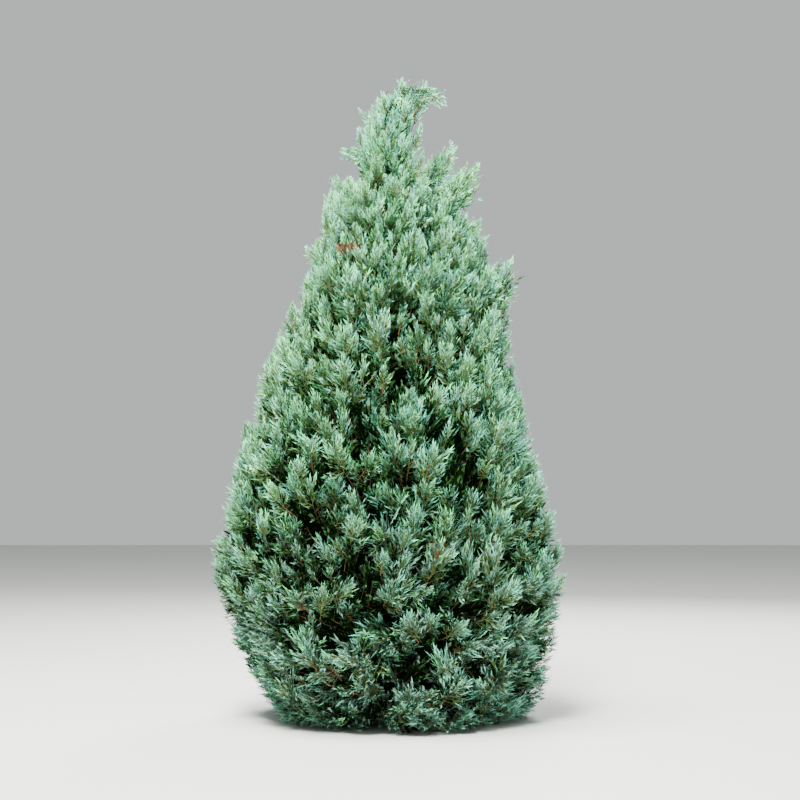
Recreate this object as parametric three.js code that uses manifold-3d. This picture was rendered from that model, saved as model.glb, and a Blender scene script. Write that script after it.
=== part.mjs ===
// A blue-green garden cypress, tear-shaped and clothed to the ground, in millimetres, with +Z up.
// The origin is the middle of the flat cut under the trunk, and -Y faces the onlooker.
// One trunk runs up through the crown. Ascending boughs leave it tier by tier, and each bears a
// mass of foliage that keeps to its own wedge of the crown: a core with sprays standing out of it.

import * as THREE from "three";
import { mergeVertices } from "three/addons/utils/BufferGeometryUtils.js";
import Module from "manifold-3d";

const wasm = await Module();
wasm.setup();

// Driving dimensions of the crown
const HEIGHT = 4500;
const GIRTH_RADIUS = 1180;
const GIRTH_HEIGHT = 1000;
const FOOT_RADIUS = 850;
const FOOT_FULLNESS = 0.8;
const TAPER_BEND = 1.3;
const TAPER_FULLNESS = 0.8;
const SPIRE_FOOT = 3690;
const SPIRE_STEP = 150;
const SPIRE_RADIUS = 225;
const SPIRE_BEND = 3.5;
const SPIRE_FULLNESS = 0.7;
const CROWN_LEAN = 115;
const LEAN_HEIGHT = 3400;
const LEAN_BEND = 0.7;
const SPIRE_LEAN = 110;
const SPIRE_LEAN_FOOT = 2900;
const SPIRE_LEAN_RISE = 1700;
const SPIRE_LEAN_BEND = 1.5;
const BROAD_LUMP = 0.035;
const FINE_LUMP = 0.03;
const LUMP_PITCH = 420;
const GROUND_GAP = 12;

// Driving dimensions of the trunk
const TRUNK_TOP = 4060;
const TRUNK_RADIUS = 64;
const TRUNK_TIP_RADIUS = 7;
const TRUNK_TAPER = 0.9;
const TRUNK_LEAN = -85;
const SWAY_X = 14;
const SWAY_Y = 9;
const FLARE_RADIUS = 40;
const FLARE_HEIGHT = 120;
const FLARE_LOBES = 5;
const FLARE_TURN = 0.6;
const TRUNK_SIDES = 12;
const TRUNK_STEPS = 11;
const RING_CROWDING = 1.6;

// Driving dimensions of the boughs
const BOUGH_RADIUS = 21;
const BOUGH_TIP_SHARE = 0.6;
const BOUGH_FALL = 0.97;
const BOUGH_BEND = 0.5;
const BOUGH_STAGGER = 50;
const LOWEST_JOINT = 90;
const COLLAR_SHARE = 0.4;
const COLLAR_FADE = 9;
const BOUGH_SIDES = 5;
const BOUGH_STEPS = 3;
const JOINT_GAP = 0.3;

// Driving dimensions of the stems that the masses grow from
const STEM_LENGTH = 150;
const STEM_TIP_SHARE = 0.7;
const SMALL_STEM_RADIUS = 13;
const SMALL_STEM_FALL = 0.9;
const LEADER_TIP_RADIUS = 3;
const LEADER_STEM_LENGTH = 300;

// Driving dimensions of the cores
const HOLLOW_SHARE = 0.42;
const SHELL_SHARE = 0.17;
const SHELL_LEAST = 70;
const SHELL_MOST = 130;
const CORE_GAP = 22;
const CORE_SET_BACK = 30;
const CORE_BUMPS = 0.05;
const CORE_ROUNDNESS = 0.55;
const CORE_SIDES = 8;
const CORE_STEPS = 5;
const LEADER_WAIST = 70;
const LEADER_TAPER = 0.45;
const LEADER_HALF = 180;
const LEADER_RISE = 205;

// Driving dimensions of the sprays
const SPRAY_LENGTH = 285;
const SPRAY_SLENDERNESS = 0.31;
const SPRAY_THICKNESS = 0.11;
const SPRAY_SINK = 45;
const SPRAY_LEAST = 0.62;
const SPRAY_MOST = 1.45;
const SPRAY_RIB = 0.42;
const SPRAY_HOLD = 0.34;
const SPRAY_YAW = 0.3;
const SPRAY_TRIES = 6;
const MOVE_MOST = 0.25;
const FAN_MOST = 0.5;
const NARROW_MOST = 0.5;
const SPACE_MARGIN = 7;
const TWIG_RADIUS = 10;

// Where the sprays stand: rows up the crown, their pitch, and how far each strays from its place
const ROW_STEP = 212;
const COLUMN_STEP = 226;
const LOWEST_ROW = 95;
const TOP_ROW = 4375;
const LOWEST_TIP = 50;
const LEAST_IN_ROW = 7;
const STRAY = { place: 0.22, level: 50, reach: 26, rise: 10, size: 0.14 };
const RISE = { low: 3, high: 63, height: 2000, bend: 0.7 };
const TWIST = { low: 1.2, high: 0.5 };

// Tiers from the ground up. Their shared borders are cones: foot is a border's height where it
// meets the crown's outline, and slope is how steeply it falls from there towards the trunk.
const TIERS = [
  { name: "skirt", foot: 0, slope: 0, masses: 6, turn: 0.25, bough: 1 },
  { name: "lower", foot: 700, slope: 0.35, masses: 6, turn: 0.75, bough: 1 },
  { name: "middle", foot: 1400, slope: 0.65, masses: 5, turn: 0.3, bough: 0.9 },
  { name: "upper", foot: 2050, slope: 0.9, masses: 4, turn: 0.85, bough: 0.75 },
  { name: "shoulder", foot: 2650, slope: 1.1, masses: 4, turn: 0.35, bough: 0.6 },
  { name: "neck", foot: 3200, slope: 1.3, masses: 3, turn: 0.9, bough: 0 },
  { name: "crest", foot: 3560, slope: 1.5, masses: 3, turn: 0.25, bough: 0 },
  { name: "leader", foot: 4080, slope: 1.6, masses: 1, turn: 0, bough: 0 },
];
const BROAD_WAVE = 45;
const FINE_WAVE = 14;

// Sprays that stand clear of the outline, by where their tips are, how steeply they rise and how
// large they are
const OUTRIDERS = [
  { x: -28, y: 0, z: 4500, rise: 86, size: 1 },
  { x: 300, y: -20, z: 4385, rise: 30, size: 0.9 },
  { x: 345, y: -40, z: 4010, rise: 52, size: 0.9 },
  { x: -440, y: -30, z: 3985, rise: 12, size: 0.62 },
  { x: 495, y: 30, z: 3900, rise: 56, size: 1.1 },
  { x: 400, y: -90, z: 3830, rise: 60, size: 1 },
  { x: -505, y: 0, z: 3790, rise: 36, size: 0.9 },
  { x: 755, y: -40, z: 3190, rise: 62, size: 1.1 },
  { x: 680, y: 110, z: 3215, rise: 64, size: 1 },
];
const OUTRIDER_TWIST = 0.4;

// The rim of a toothed spray, from its root round to its tip and back, as shares of its length
// and of its half width
const SPRAY_RIM = [
  [0, 0],
  [0.5, 1],
  [0.64, 0.46],
  [1, 0],
  [0.56, -0.88],
];

const TURN = 2 * Math.PI;
const UP = new THREE.Vector3(0, 0, 1);

const BARK = new THREE.MeshStandardMaterial({ color: 0x6b4a38, roughness: 0.9, metalness: 0 });
const FOLIAGE = new THREE.MeshStandardMaterial({ color: 0x6f9488, roughness: 0.75, metalness: 0 });

// A repeatable stream of numbers from 0 to 1.
function seeded(seed) {
  let state = Math.imul(seed + 1, 2654435761) >>> 0;
  return () => {
    state = (Math.imul(state, 1664525) + 1013904223) >>> 0;
    return state / 4294967296;
  };
}

const mix = (a, b, share) => a + (b - a) * share;
const clamp = (value, low, high) => Math.min(high, Math.max(low, value));
const wrap = (angle) => angle - TURN * Math.round(angle / TURN);
const spread = (random, size) => (2 * random() - 1) * size;

// The crown's outline: how far it reaches from its own middle line at a height. It swells from its
// foot to its girth, tapers, and steps in to a slender spire.
function crownRadius(z) {
  if (z < GIRTH_HEIGHT) {
    const share = Math.max(z, 0) / GIRTH_HEIGHT;
    return mix(FOOT_RADIUS, GIRTH_RADIUS, Math.sin((Math.PI / 2) * share ** FOOT_FULLNESS));
  }
  const share = clamp((z - GIRTH_HEIGHT) / (HEIGHT - GIRTH_HEIGHT), 0, 1);
  const taper = GIRTH_RADIUS * (1 - share ** TAPER_BEND) ** TAPER_FULLNESS;
  const spireShare = clamp((z - SPIRE_FOOT) / (HEIGHT - SPIRE_FOOT), 0, 1);
  const spire = SPIRE_RADIUS * (1 - spireShare ** SPIRE_BEND) ** SPIRE_FULLNESS;
  return mix(taper, spire, THREE.MathUtils.smoothstep(z, SPIRE_FOOT, SPIRE_FOOT + SPIRE_STEP));
}

// The crown's middle line bows to one side of the trunk at the belly, and again at the spire.
function crownMiddle(z) {
  const bellyShare = clamp(z / LEAN_HEIGHT, 0, 1);
  const spireShare = clamp((z - SPIRE_LEAN_FOOT) / SPIRE_LEAN_RISE, 0, 1);
  const belly = CROWN_LEAN * Math.sin(Math.PI * bellyShare ** LEAN_BEND);
  return -belly - SPIRE_LEAN * Math.sin(Math.PI * spireShare ** SPIRE_LEAN_BEND);
}

// Lumps that keep the outline from looking turned on a lathe, as a share of the radius.
function lump(azimuth, z) {
  const wave = z / LUMP_PITCH;
  return BROAD_LUMP * Math.sin(3 * azimuth + wave) + FINE_LUMP * Math.sin(5 * azimuth - 1.7 * wave + 2);
}

// A point as azimuth, radius and height about the crown's middle line.
function toCrown(point) {
  const x = point.x - crownMiddle(point.z);
  return { azimuth: Math.atan2(point.y, x), radius: Math.hypot(x, point.y), z: point.z };
}

// The point at an azimuth, radius and height about the crown's middle line.
function fromCrown(azimuth, radius, z) {
  const x = crownMiddle(z) + radius * Math.cos(azimuth);
  return new THREE.Vector3(x, radius * Math.sin(azimuth), z);
}

const borderWave = (tier, azimuth) =>
  BROAD_WAVE * Math.sin(3 * azimuth + 2.1 * tier) + FINE_WAVE * Math.sin(7 * azimuth + tier);

// The height of the border under a tier, at a radius and azimuth.
function border(tier, radius, azimuth) {
  if (tier === 0) return GROUND_GAP;
  if (tier === TIERS.length) return Infinity;
  const { foot, slope } = TIERS[tier];
  return foot + slope * (radius - crownRadius(foot)) + borderWave(tier, azimuth);
}

// How far a point lies inside a mass's space, in millimetres, with less than 0 for outside.
function depthInSpace(mass, point) {
  const { azimuth, radius, z } = toCrown(point);
  const above = z - border(mass.tier, radius, azimuth);
  const below = border(mass.tier + 1, radius, azimuth) - z;
  const slant = 1 / Math.hypot(1, TIERS[mass.tier].slope);
  const beside = radius * (mass.half - Math.abs(wrap(azimuth - mass.azimuth)));
  return Math.min(above * slant, below * slant, isWhole(mass) ? Infinity : beside);
}

// A tier's only mass reaches all the way round.
const isWhole = (mass) => mass.half >= Math.PI;

// Every mass's place in the crown: its tier, the azimuth of its middle and half its width.
function layOutMasses() {
  const masses = [];
  TIERS.forEach((tier, index) => {
    for (let n = 0; n < tier.masses; n++) {
      const azimuth = wrap((TURN * (n + tier.turn)) / tier.masses);
      const name = tier.masses > 1 ? `${tier.name}_${n + 1}` : tier.name;
      masses.push({ name, tier: index, place: n, azimuth, half: Math.PI / tier.masses, sites: [] });
    }
  });
  return masses;
}

// How far up the change from level sprays at the ground to steep ones a height lies.
const riseShare = (z) => clamp(z / RISE.height, 0, 1) ** RISE.bend;

// Deals the tips of the sprays, in rows round the whole crown, to the masses they fall in.
function layOutSprays(masses) {
  const random = seeded(11);
  const deal = (tip, rise, twist, size) => {
    const found = masses.find((mass) => depthInSpace(mass, tip) > 0);
    if (found) found.sites.push({ tip, rise, twist, size });
  };
  OUTRIDERS.forEach(({ x, y, z, rise, size }) => {
    deal(new THREE.Vector3(x, y, z), rise, OUTRIDER_TWIST, size);
  });
  const rows = Math.round((TOP_ROW - LOWEST_ROW) / ROW_STEP) + 1;
  for (let row = 0; row < rows; row++) {
    const level = mix(LOWEST_ROW, TOP_ROW, row / (rows - 1));
    const fitting = Math.round((TURN * crownRadius(level)) / COLUMN_STEP);
    const count = Math.max(LEAST_IN_ROW, fitting);
    for (let n = 0; n < count; n++) {
      const azimuth = wrap((TURN * (n + (row % 2) / 2 + spread(random, STRAY.place))) / count);
      const z = Math.max(level + spread(random, STRAY.level), LOWEST_TIP);
      const radius = crownRadius(z) * (1 + lump(azimuth, z)) + spread(random, STRAY.reach);
      const rise = mix(RISE.low, RISE.high, riseShare(z)) + spread(random, STRAY.rise);
      const twist = spread(random, mix(TWIST.low, TWIST.high, riseShare(z)));
      deal(fromCrown(azimuth, radius, z), rise, twist, 1 + spread(random, STRAY.size));
    }
  }
}

// Turns a three.js geometry into a solid, with its shared corners merged.
function solidOf(geometry) {
  const bare = new THREE.BufferGeometry();
  bare.setAttribute("position", geometry.getAttribute("position"));
  bare.setIndex(geometry.getIndex());
  const merged = mergeVertices(bare, 1e-3);
  const mesh = new wasm.Mesh({
    numProp: 3,
    vertProperties: new Float32Array(merged.getAttribute("position").array),
    triVerts: new Uint32Array(merged.getIndex().array),
  });
  return new wasm.Manifold(mesh);
}

function geometryOf(solid) {
  const mesh = solid.getMesh();
  const geometry = new THREE.BufferGeometry();
  geometry.setAttribute("position", new THREE.BufferAttribute(mesh.vertProperties, 3));
  geometry.setIndex(new THREE.BufferAttribute(mesh.triVerts, 1));
  geometry.computeVertexNormals();
  return geometry;
}

// Moves every corner of a geometry to where place(corner) says.
function reshape(geometry, place) {
  const position = geometry.getAttribute("position");
  const corner = new THREE.Vector3();
  for (let i = 0; i < position.count; i++) {
    const moved = place(corner.fromBufferAttribute(position, i));
    position.setXYZ(i, moved.x, moved.y, moved.z);
  }
  return geometry;
}

// Two directions square to a third, so that side, along and across are a right-handed set.
function squareTo(along, hint) {
  const side = new THREE.Vector3().crossVectors(along, hint).normalize();
  return { side, across: new THREE.Vector3().crossVectors(side, along).normalize() };
}

// A tapering limb along a curve: a cylinder whose rings are set out on the curve.
function limb(curve, radiusAt, steps, hint = UP) {
  const cylinder = new THREE.CylinderGeometry(1, 1, 1, BOUGH_SIDES, steps);
  return reshape(cylinder, (corner) => {
    const share = corner.y + 0.5;
    const { side, across } = squareTo(curve.getTangent(share), hint);
    const radius = radiusAt(share);
    return curve
      .getPoint(share)
      .addScaledVector(side, corner.x * radius)
      .addScaledVector(across, corner.z * radius);
  });
}

// The middle of the trunk at a height. It leans a little and sways both ways.
function trunkMiddle(z) {
  const share = z / TRUNK_TOP;
  const x = TRUNK_LEAN * share + SWAY_X * Math.sin(5 * share);
  return new THREE.Vector3(x, SWAY_Y * Math.sin(4 * share), z);
}

// The trunk tapers to its tip, and flares into root lobes just above the ground.
function trunkRadius(z, azimuth) {
  const stem = mix(TRUNK_TIP_RADIUS, TRUNK_RADIUS, (1 - z / TRUNK_TOP) ** TRUNK_TAPER);
  const flare = FLARE_RADIUS * Math.exp(-z / FLARE_HEIGHT);
  return stem + flare * (0.75 + 0.45 * Math.cos(FLARE_LOBES * azimuth + FLARE_TURN));
}

// The trunk, thickened by extra where it is used to cut other pieces clear of it.
function trunk(extra) {
  const cylinder = new THREE.CylinderGeometry(1, 1, 1, TRUNK_SIDES, TRUNK_STEPS);
  return reshape(cylinder, (corner) => {
    const z = TRUNK_TOP * (corner.y + 0.5) ** RING_CROWDING;
    const azimuth = Math.atan2(-corner.z, corner.x);
    const radius = Math.hypot(corner.x, corner.z) * (trunkRadius(z, azimuth) + extra);
    const offset = new THREE.Vector3(radius * Math.cos(azimuth), radius * Math.sin(azimuth), 0);
    return trunkMiddle(z).add(offset);
  });
}

const hasBough = (mass) => TIERS[mass.tier].bough > 0;

// The crown is hollow round the trunk, except in the upper tiers.
const hollowRadius = (mass, z) => (hasBough(mass) ? HOLLOW_SHARE * crownRadius(z) : TRUNK_RADIUS);

// Where a mass's stem begins, the height being midway between the mass's borders there.
function entryPoint(mass) {
  const { foot } = TIERS[mass.tier];
  const next = TIERS[mass.tier + 1].foot;
  const radius = hollowRadius(mass, (foot + next) / 2);
  const low = border(mass.tier, radius, mass.azimuth);
  const high = border(mass.tier + 1, radius, mass.azimuth);
  return fromCrown(mass.azimuth, radius, (low + high) / 2);
}

// How steeply a mass's stem rises on its way outward, along the fall of its borders.
const stemSlope = (mass) => (TIERS[mass.tier].slope + TIERS[mass.tier + 1].slope) / 2;

function stemDirection(mass) {
  const { azimuth } = mass;
  return new THREE.Vector3(Math.cos(azimuth), Math.sin(azimuth), stemSlope(mass)).normalize();
}

// The line of a bough: out of the trunk, then bending up to the mass's entry.
function boughLine(mass) {
  const entry = entryPoint(mass);
  const fall = BOUGH_FALL * stemSlope(mass) * Math.hypot(entry.x, entry.y);
  const stagger = BOUGH_STAGGER * ((mass.place % 3) - 1);
  const start = trunkMiddle(Math.max(entry.z - fall + stagger, LOWEST_JOINT));
  const back = -BOUGH_BEND * start.distanceTo(entry);
  const bend = entry.clone().addScaledVector(stemDirection(mass), back);
  return new THREE.QuadraticBezierCurve3(start, bend, entry);
}

const boughRadius = (mass) => BOUGH_RADIUS * TIERS[mass.tier].bough;

// A bough tapers to its tip and swells into a collar where it leaves the trunk.
function bough(mass, trunkClear) {
  const radiusAt = (share) => {
    const collar = COLLAR_SHARE * Math.exp(-COLLAR_FADE * share);
    return boughRadius(mass) * (mix(1, BOUGH_TIP_SHARE, share) + collar);
  };
  return solidOf(limb(boughLine(mass), radiusAt, BOUGH_STEPS)).subtract(trunkClear);
}

// How far the sprays stand out of the cores.
const shellDepth = (z) => clamp(SHELL_SHARE * crownRadius(z), SHELL_LEAST, SHELL_MOST);

// Pushes a share from -1 to 1 towards its ends, which squares up a round form.
const squared = (share) => Math.sign(share) * Math.abs(share) ** CORE_ROUNDNESS;

// The core of a mass: a sphere stretched to fill the wedge, short of its borders and its outline.
function wedgeCore(mass, random) {
  const sphere = new THREE.SphereGeometry(1, CORE_SIDES, CORE_STEPS);
  const phase = TURN * random();
  const { foot } = TIERS[mass.tier];
  const next = TIERS[mass.tier + 1].foot;
  return reshape(sphere, (corner) => {
    const levelShare = 0.5 + 0.5 * squared(corner.y);
    const depthShare = 0.5 + 0.5 * squared(corner.x);
    const level = mix(foot, next, levelShare);
    const inner = hollowRadius(mass, level) + CORE_SET_BACK;
    const outer = crownRadius(level) - shellDepth(level);
    const bumps = CORE_BUMPS * (Math.sin(4 * corner.y + phase) + Math.cos(5 * corner.z + phase));
    const radius = mix(inner, outer * (1 + bumps), depthShare);
    const azimuth = mass.azimuth + (mass.half - CORE_GAP / radius) * squared(-corner.z);
    const low = border(mass.tier, radius, azimuth) + CORE_GAP;
    const high = border(mass.tier + 1, radius, azimuth) - CORE_GAP;
    return fromCrown(azimuth, radius, mix(low, high, levelShare));
  });
}

// The leader's core is a spindle above the tip of the trunk.
function leaderCore() {
  const sphere = new THREE.SphereGeometry(1, CORE_SIDES, CORE_STEPS);
  const middle = trunkMiddle(TRUNK_TOP);
  return reshape(sphere, (corner) => {
    const waist = LEADER_WAIST * (1 - LEADER_TAPER * corner.y);
    const height = TRUNK_TOP + LEADER_RISE + LEADER_HALF * corner.y;
    return new THREE.Vector3(middle.x + waist * corner.z, middle.y + waist * corner.x, height);
  });
}

// A toothed blade: a flattened sphere of two cones, with the spray's rim and a flat underside.
function spray(root, along, face, length, halfWidth) {
  const rim = SPRAY_RIM.length;
  const sphere = new THREE.SphereGeometry(1, rim, 2);
  const { side, across } = squareTo(along, face);
  return reshape(sphere, (corner) => {
    const onRim = Math.abs(corner.y) < 0.5;
    const step = Math.round((Math.atan2(corner.z, -corner.x) / TURN) * rim + rim) % rim;
    const [reach, width] = onRim ? SPRAY_RIM[step] : [SPRAY_RIB, 0];
    const lift = corner.y > 0.5 ? SPRAY_THICKNESS : 0;
    return root
      .clone()
      .addScaledVector(along, reach * length)
      .addScaledVector(side, width * halfWidth)
      .addScaledVector(across, lift * length);
  });
}

// A three-sided twig that narrows to a point.
function twig(root, tip) {
  const along = new THREE.Vector3().subVectors(tip, root);
  const cone = new THREE.ConeGeometry(TWIG_RADIUS, along.length(), 3, 1);
  const upright = new THREE.Vector3(0, 1, 0);
  const turned = new THREE.Quaternion().setFromUnitVectors(upright, along.normalize());
  const middle = root.clone().lerp(tip, 0.5);
  return cone.applyQuaternion(turned).translate(middle.x, middle.y, middle.z);
}

// The distance from a point to a surface along a direction, or Infinity past the limit.
function distanceTo(surface, from, direction, limit) {
  const caster = new THREE.Raycaster(from, direction, 0, limit);
  const hits = caster.intersectObject(surface);
  return hits.length ? hits[0].distance : Infinity;
}

// The direction in which a spray points, for a tip at a place in the crown.
function sprayDirection(tip, rise, yaw) {
  const azimuth = toCrown(tip).azimuth + yaw;
  const level = Math.cos(THREE.MathUtils.degToRad(rise));
  const lift = Math.sin(THREE.MathUtils.degToRad(rise));
  return new THREE.Vector3(level * Math.cos(azimuth), level * Math.sin(azimuth), lift);
}

// The direction in which a spray's ribbed face looks: down and outward, then twisted about it.
function sprayFace(along, twist) {
  const { side, across } = squareTo(along, UP);
  return across.multiplyScalar(-Math.cos(twist)).addScaledVector(side, Math.sin(twist));
}

// True if a piece's corners, and points between each and the next, all lie in the mass's space.
function fitsSpace(mass, piece) {
  const position = piece.getAttribute("position");
  const corner = new THREE.Vector3();
  const next = new THREE.Vector3();
  for (let i = 0; i < position.count; i++) {
    next.fromBufferAttribute(position, (i + 1) % position.count);
    for (const share of [0, 0.25, 0.5, 0.75]) {
      corner.fromBufferAttribute(position, i).lerp(next, share);
      if (depthInSpace(mass, corner) < SPACE_MARGIN) return false;
    }
  }
  return true;
}

// The blade for one site. It gets narrower and moves towards the middle of its mass as share
// grows. Its root is sunk in the core if that lies behind the tip, and otherwise hangs in the open.
function bladeAt(mass, core, site, yaw, share) {
  const tip = site.tip.clone().lerp(core.middle, MOVE_MOST * share);
  const fan = clamp(wrap(toCrown(tip).azimuth - mass.azimuth), -FAN_MOST, FAN_MOST);
  const along = sprayDirection(tip, site.rise, isWhole(mass) ? yaw : mix(yaw, fan, share));
  const length = SPRAY_LENGTH * site.size;
  const back = along.clone().negate();
  const seat = distanceTo(core.surface, tip, back, length * SPRAY_MOST - SPRAY_SINK);
  const seated = Number.isFinite(seat);
  const reach = seated ? Math.max(seat + SPRAY_SINK, SPRAY_LEAST * length) : length;
  const root = tip.clone().addScaledVector(back, reach);
  const face = sprayFace(along, site.twist);
  const hold = root.clone().addScaledVector(along, SPRAY_HOLD * reach);
  hold.addScaledVector(face, SPRAY_HOLD * SPRAY_THICKNESS * reach);
  const halfWidth = SPRAY_SLENDERNESS * reach * (1 - NARROW_MOST * share);
  return { blade: spray(root, along, face, reach, halfWidth), seated, root, hold };
}

// The pieces of the spray at one site, or none if there is no room for it. One that would leave
// the space is tried again, and one whose root hangs in the open gets a twig.
function sprayAt(mass, core, site, random) {
  const yaw = spread(random, SPRAY_YAW);
  for (let tries = 0; tries < SPRAY_TRIES; tries++) {
    const made = bladeAt(mass, core, site, yaw, tries / (SPRAY_TRIES - 1));
    if (!fitsSpace(mass, made.blade)) continue;
    if (made.seated) return [made.blade];
    const inward = core.middle.clone().sub(made.root).normalize();
    const gap = distanceTo(core.surface, made.root, inward, 2 * SPRAY_LENGTH);
    if (!Number.isFinite(gap)) continue;
    const holder = twig(made.root.clone().addScaledVector(inward, gap + SPRAY_SINK), made.hold);
    if (fitsSpace(mass, holder)) return [made.blade, holder];
  }
  return [];
}

// A straight stem, tapering from one radius to another.
function stemBetween(start, end, radius, tipRadius, hint) {
  const line = new THREE.LineCurve3(start, end);
  return solidOf(limb(line, (share) => mix(radius, tipRadius, share), 1, hint));
}

// The stem of a mass: on from its bough's tip, or out of the trunk, into the core.
function stem(mass, middle, trunkClear) {
  if (isWhole(mass)) {
    const start = trunkMiddle(TRUNK_TOP).setZ(TRUNK_TOP + JOINT_GAP);
    const end = start.clone().setZ(TRUNK_TOP + LEADER_STEM_LENGTH);
    const hint = new THREE.Vector3(1, 0, 0);
    return stemBetween(start, end, TRUNK_TIP_RADIUS, LEADER_TIP_RADIUS, hint);
  }
  const entry = entryPoint(mass);
  if (hasBough(mass)) {
    const along = stemDirection(mass);
    const start = entry.clone().addScaledVector(along, JOINT_GAP);
    const end = start.clone().addScaledVector(along, STEM_LENGTH);
    const radius = boughRadius(mass) * BOUGH_TIP_SHARE;
    return stemBetween(start, end, radius, STEM_TIP_SHARE * radius, UP);
  }
  const start = trunkMiddle(entry.z - SMALL_STEM_FALL * Math.hypot(entry.x, entry.y));
  const tipRadius = STEM_TIP_SHARE * SMALL_STEM_RADIUS;
  return stemBetween(start, middle, SMALL_STEM_RADIUS, tipRadius, UP).subtract(trunkClear);
}

// The mean of a geometry's corners.
function middleOf(geometry) {
  const middle = new THREE.Vector3();
  const position = geometry.getAttribute("position");
  for (let i = 0; i < position.count; i++) {
    middle.add(new THREE.Vector3().fromBufferAttribute(position, i));
  }
  return middle.divideScalar(position.count);
}

// One mass of foliage, as a single solid.
function foliage(mass, index, trunkClear) {
  const random = seeded(500 + index);
  const geometry = isWhole(mass) ? leaderCore() : wedgeCore(mass, random);
  const bothSides = new THREE.MeshBasicMaterial({ side: THREE.DoubleSide });
  const core = { surface: new THREE.Mesh(geometry, bothSides), middle: middleOf(geometry) };
  let solid = solidOf(geometry).add(stem(mass, core.middle, trunkClear));
  for (const site of mass.sites) {
    for (const piece of sprayAt(mass, core, site, random)) solid = solid.add(solidOf(piece));
  }
  return solid;
}

function named(name, solid, material) {
  const mesh = new THREE.Mesh(geometryOf(solid), material);
  mesh.name = name;
  return mesh;
}

function cypress() {
  const group = new THREE.Group();
  const masses = layOutMasses();
  layOutSprays(masses);
  const trunkClear = solidOf(trunk(JOINT_GAP));
  group.add(named("trunk", solidOf(trunk(0)), BARK));
  masses.forEach((mass, index) => {
    if (hasBough(mass)) group.add(named(`bough_${mass.name}`, bough(mass, trunkClear), BARK));
    group.add(named(`foliage_${mass.name}`, foliage(mass, index, trunkClear), FOLIAGE));
  });
  return group;
}

export default cypress();
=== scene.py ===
"""The looks of a blue-green garden cypress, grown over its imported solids.

The crown's outline, its tiers, its masses and the places of its sprays repeat the rule of the
part's source, in millimetres, with -Y towards the onlooker. Each place bears a plume of flat
feathery sprays, finer plumes fill the room between and behind them, and twigs lead to them all
from the tips of the boughs. Meshes are turned into metres as they are made.
"""

import math

import bpy
import numpy as np
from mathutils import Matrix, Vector, noise

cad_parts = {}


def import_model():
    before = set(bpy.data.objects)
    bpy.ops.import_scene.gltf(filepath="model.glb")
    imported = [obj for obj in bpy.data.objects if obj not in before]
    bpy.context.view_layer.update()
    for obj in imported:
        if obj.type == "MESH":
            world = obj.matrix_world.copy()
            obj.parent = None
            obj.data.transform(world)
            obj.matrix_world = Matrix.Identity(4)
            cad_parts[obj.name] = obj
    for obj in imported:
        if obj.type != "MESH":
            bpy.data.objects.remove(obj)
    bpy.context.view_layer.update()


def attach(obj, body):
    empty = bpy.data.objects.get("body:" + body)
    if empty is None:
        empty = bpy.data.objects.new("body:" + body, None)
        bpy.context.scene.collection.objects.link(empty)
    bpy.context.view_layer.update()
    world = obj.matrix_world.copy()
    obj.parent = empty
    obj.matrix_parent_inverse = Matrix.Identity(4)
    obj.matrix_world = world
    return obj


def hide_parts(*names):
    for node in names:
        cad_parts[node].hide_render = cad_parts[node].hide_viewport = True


METRES = 0.001
TURN = 2 * math.pi

# The stream of seeded numbers, as in the part's source
STREAM_SIZE = 2**32
SEED_SCALE = 2654435761
STEP_SCALE = 1664525
STEP_SHIFT = 1013904223

# The crown, as in the part's source
HEIGHT = 4500
GIRTH_RADIUS = 1180
GIRTH_HEIGHT = 1000
FOOT_RADIUS = 850
FOOT_FULLNESS = 0.8
TAPER_BEND = 1.3
TAPER_FULLNESS = 0.8
SPIRE_FOOT = 3690
SPIRE_STEP = 150
SPIRE_RADIUS = 225
SPIRE_BEND = 3.5
SPIRE_FULLNESS = 0.7
CROWN_LEAN = 115
LEAN_HEIGHT = 3400
LEAN_BEND = 0.7
SPIRE_LEAN = 110
SPIRE_LEAN_FOOT = 2900
SPIRE_LEAN_RISE = 1700
SPIRE_LEAN_BEND = 1.5
LUMP_PITCH = 420
BROAD_LUMP = 0.035
BROAD_LUMP_COUNT = 3
FINE_LUMP = 0.03
FINE_LUMP_COUNT = 5
FINE_LUMP_DRIFT = -1.7
FINE_LUMP_TURN = 2
GROUND_GAP = 12
BROAD_WAVE = 45
BROAD_WAVE_COUNT = 3
BROAD_WAVE_TURN = 2.1
FINE_WAVE = 14
FINE_WAVE_COUNT = 7

# The trunk and boughs, as in the part's source
TRUNK_TOP = 4060
TRUNK_RADIUS = 64
TRUNK_TIP_RADIUS = 7
TRUNK_TAPER = 0.9
TRUNK_LEAN = -85
SWAY_X = 14
SWAY_X_WAVE = 5
SWAY_Y = 9
SWAY_Y_WAVE = 4
FLARE_RADIUS = 40
FLARE_HEIGHT = 120
FLARE_LOBES = 5
FLARE_TURN = 0.6
FLARE_LEVEL = 0.75
FLARE_WAVE = 0.45
BOUGH_RADIUS = 21
BOUGH_TIP_SHARE = 0.6
BOUGH_FALL = 0.97
BOUGH_BEND = 0.5
BOUGH_STAGGER = 50
BOUGH_STEPS = 3
LOWEST_JOINT = 90
COLLAR_SHARE = 0.4
COLLAR_FADE = 9
HOLLOW_SHARE = 0.42

# The places of the sprays, as in the part's source
SPRAY_YAW = 0.3
LOWEST_TIP = 50
LEAST_IN_ROW = 7
RISE = {"low": 3, "high": 63, "height": 2000, "bend": 0.7}
STRAY = {"place": 0.22, "level": 50, "reach": 26, "rise": 10, "size": 0.14}

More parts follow.
